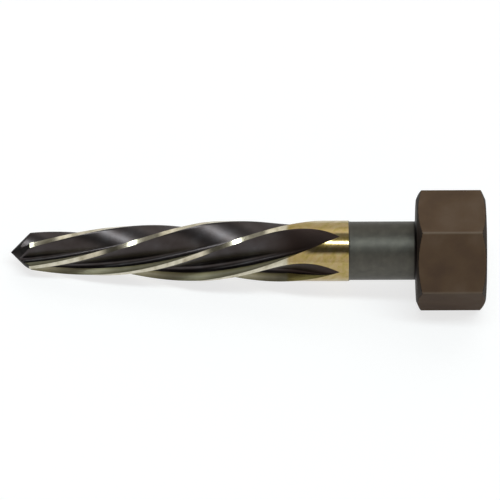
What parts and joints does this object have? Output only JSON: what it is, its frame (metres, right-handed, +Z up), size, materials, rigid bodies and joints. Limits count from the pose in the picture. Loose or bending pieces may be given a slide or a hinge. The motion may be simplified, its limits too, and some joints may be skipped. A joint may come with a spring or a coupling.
{
  "type": "car reamer",
  "caption": "Taper reamer with left-hand spiral flutes, a short parallel collar, a round shank and a hexagon drive nut, for opening and aligning bolt holes in steelwork.",
  "frame": {"origin": "bottom centre of the bounding box, on the ground the tool lies on", "axes": "+X runs from the cutting point toward the drive nut, with the tool's own axis rising 5.04 degrees above it; +Z is up; +Y completes the right-handed frame"},
  "size_m": [0.1618, 0.0422, 0.0383],
  "materials": {
    "bronze_high_speed_steel": "ground lands with a bronze oxide collar, dark oxide flutes and shank",
    "brown_oxide_steel": "satin brown-black oxide over a machined hexagon"
  },
  "bodies": {
    "root": {"reamer_body": "bronze_high_speed_steel", "drive_nut": "brown_oxide_steel"}
  },
  "joints": []
}
